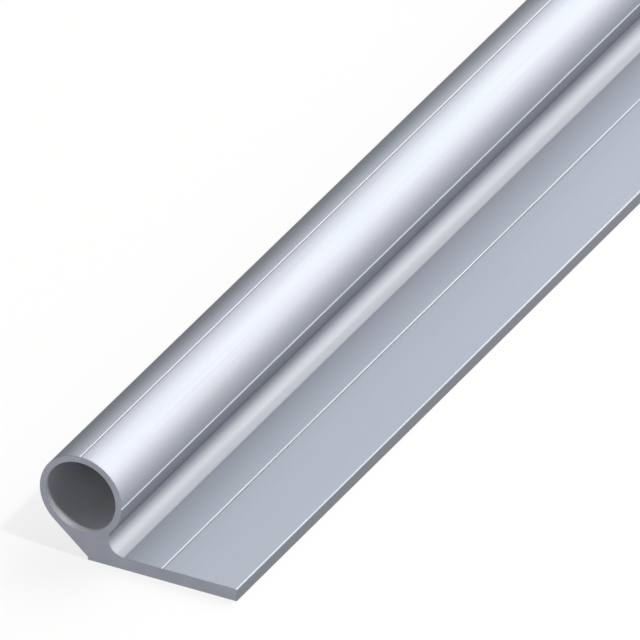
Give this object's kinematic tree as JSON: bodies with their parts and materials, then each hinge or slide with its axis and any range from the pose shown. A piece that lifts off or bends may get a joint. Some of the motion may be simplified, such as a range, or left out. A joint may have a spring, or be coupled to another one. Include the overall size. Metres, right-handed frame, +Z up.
{
  "type": "aluminium extrusion profile",
  "caption": "Extruded aluminium stock: a round tube joined along one edge of a flat flange, with fine V grooves that mark drilling lines.",
  "frame": {"origin": "middle of the box's underside: on the flange's flat underside, at half the overall width and half the length", "axes": "+Y along the length, +X from the tube towards the flange's free edge, +Z up from the flat underside towards the tube"},
  "size_m": [0.048, 1, 0.0254],
  "materials": {
    "aluminium": "satin, as extruded, with plain sawn ends"
  },
  "bodies": {
    "root": {"flanged_tube_profile": "aluminium"}
  },
  "joints": []
}
